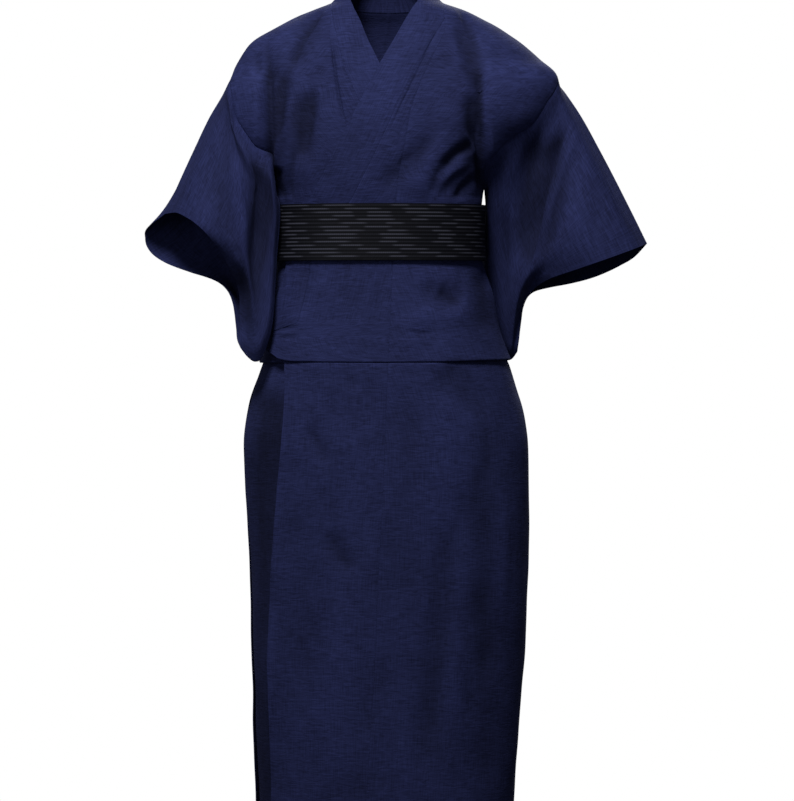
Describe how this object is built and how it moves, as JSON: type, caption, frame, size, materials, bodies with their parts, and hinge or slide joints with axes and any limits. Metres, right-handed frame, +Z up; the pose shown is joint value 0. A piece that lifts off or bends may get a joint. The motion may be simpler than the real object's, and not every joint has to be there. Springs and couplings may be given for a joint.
{
  "type": "cotton yukata robe",
  "caption": "Cotton yukata robe worn left over right and folded over at the hips, with open sleeves and a stiff belt knotted at the back.",
  "frame": {"origin": "middle of the neck opening at the height where the shoulders carry the robe", "axes": "+Z up along the robe, the robe's front faces -Y, +X towards the wearer's left sleeve"},
  "size_m": [0.8321, 0.2971, 1.4281],
  "materials": {
    "cloth": "matt",
    "belt": "satin"
  },
  "bodies": {
    "root": {"left_body": "cloth", "right_body": "cloth", "left_okumi": "cloth", "right_okumi": "cloth", "left_sleeve": "cloth", "right_sleeve": "cloth", "collar": "cloth", "obi_band": "belt", "obi_knot": "belt", "obi_end_upper": "belt", "obi_end_lower": "belt"}
  },
  "joints": []
}
